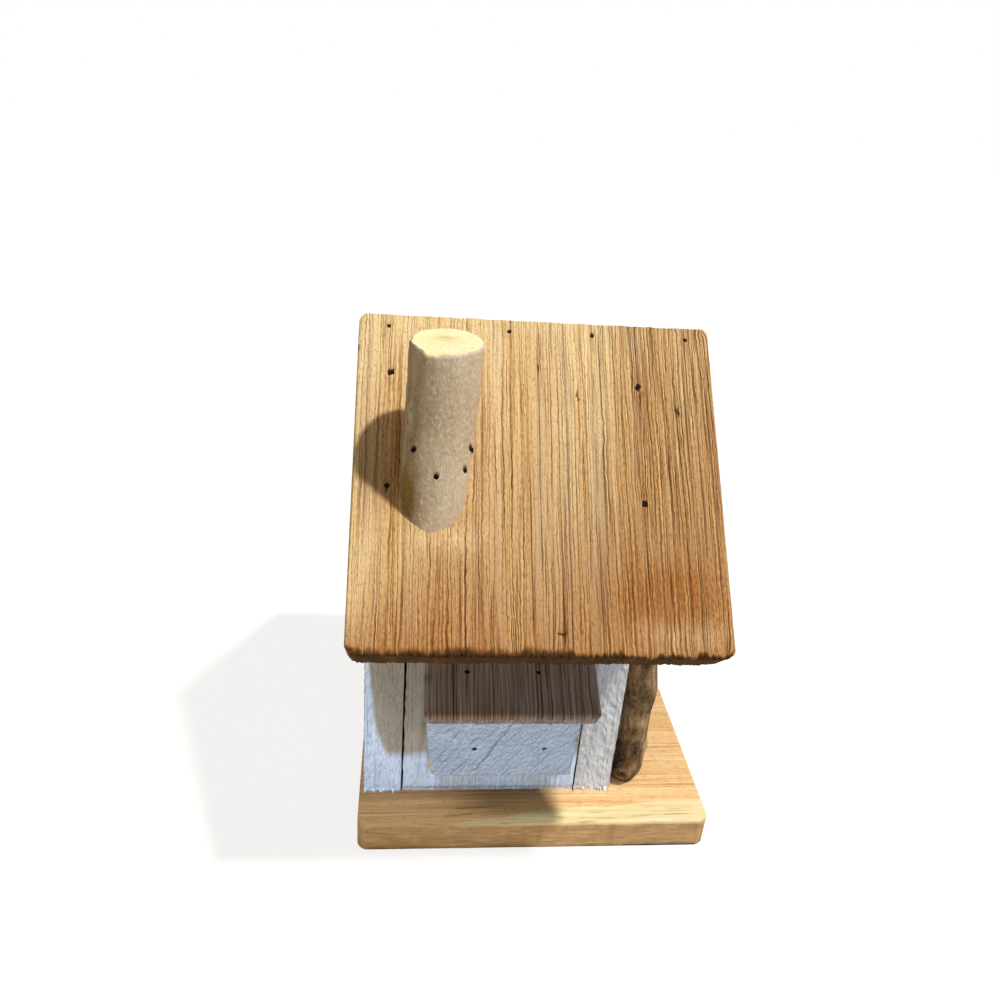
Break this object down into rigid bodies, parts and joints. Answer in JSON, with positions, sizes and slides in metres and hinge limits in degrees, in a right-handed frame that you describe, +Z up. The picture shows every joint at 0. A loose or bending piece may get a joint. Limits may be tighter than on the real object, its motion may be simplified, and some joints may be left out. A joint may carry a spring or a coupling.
{
  "type": "birdhouse",
  "caption": "Rustic wooden birdhouse with a steep gable roof, branch chimney, porch posts, small shed-roofed block on one side and a swing-out side wall for cleaning.",
  "frame": {"origin": "middle of the whole object's box, on the underside of the base board", "axes": "+X to the front with the entrance and porch, +Y to the side with the swing-out wall, +Z up"},
  "size_m": [0.18, 0.2114, 0.2569],
  "materials": {
    "pine": "planed, unsealed",
    "whitewash": "rough sawn, thin white paint",
    "roof_wood": "weathered honey brown, ridged grain",
    "grey_wood": "weathered grey brown, cracked",
    "peeled_branch": "peeled, dry, smooth",
    "bark_branch": "dark weathered branch with knots",
    "iron": "dark, slightly rusted"
  },
  "bodies": {
    "house": {"base_board": "pine", "rear_wall": "whitewash", "front_wall": "whitewash", "near_wall": "whitewash", "door_stop": "pine", "near_roof_board": "roof_wood", "far_roof_board": "roof_wood", "chimney": "peeled_branch", "bay_block": "whitewash", "awning_board": "grey_wood", "near_post": "bark_branch", "far_post": "bark_branch", "ridge_nails": "iron", "near_roof_nails": "iron", "far_roof_nails": "iron", "wall_nails": "iron", "pivot_nails": "iron", "bay_nails": "iron", "awning_nails": "iron", "post_nails": "iron", "chimney_nails": "iron", "stop_nails": "iron", "base_screws": "iron"},
    "swing_wall": {"cleanout_wall": "whitewash"},
    "latch": {"latch_hook": "iron"}
  },
  "joints": [
    {"name": "cleanout_swing", "type": "hinge", "parent": "house", "child": "swing_wall", "pos_m": [-0.0215, 0.0385, 0.151], "axis": [1, 0, 0], "range_deg": [0, 55]},
    {"name": "latch_turn", "type": "hinge", "parent": "house", "child": "latch", "pos_m": [0.0325, 0.048, 0.062], "axis": [0, 1, 0], "range_deg": [0, 90]}
  ]
}
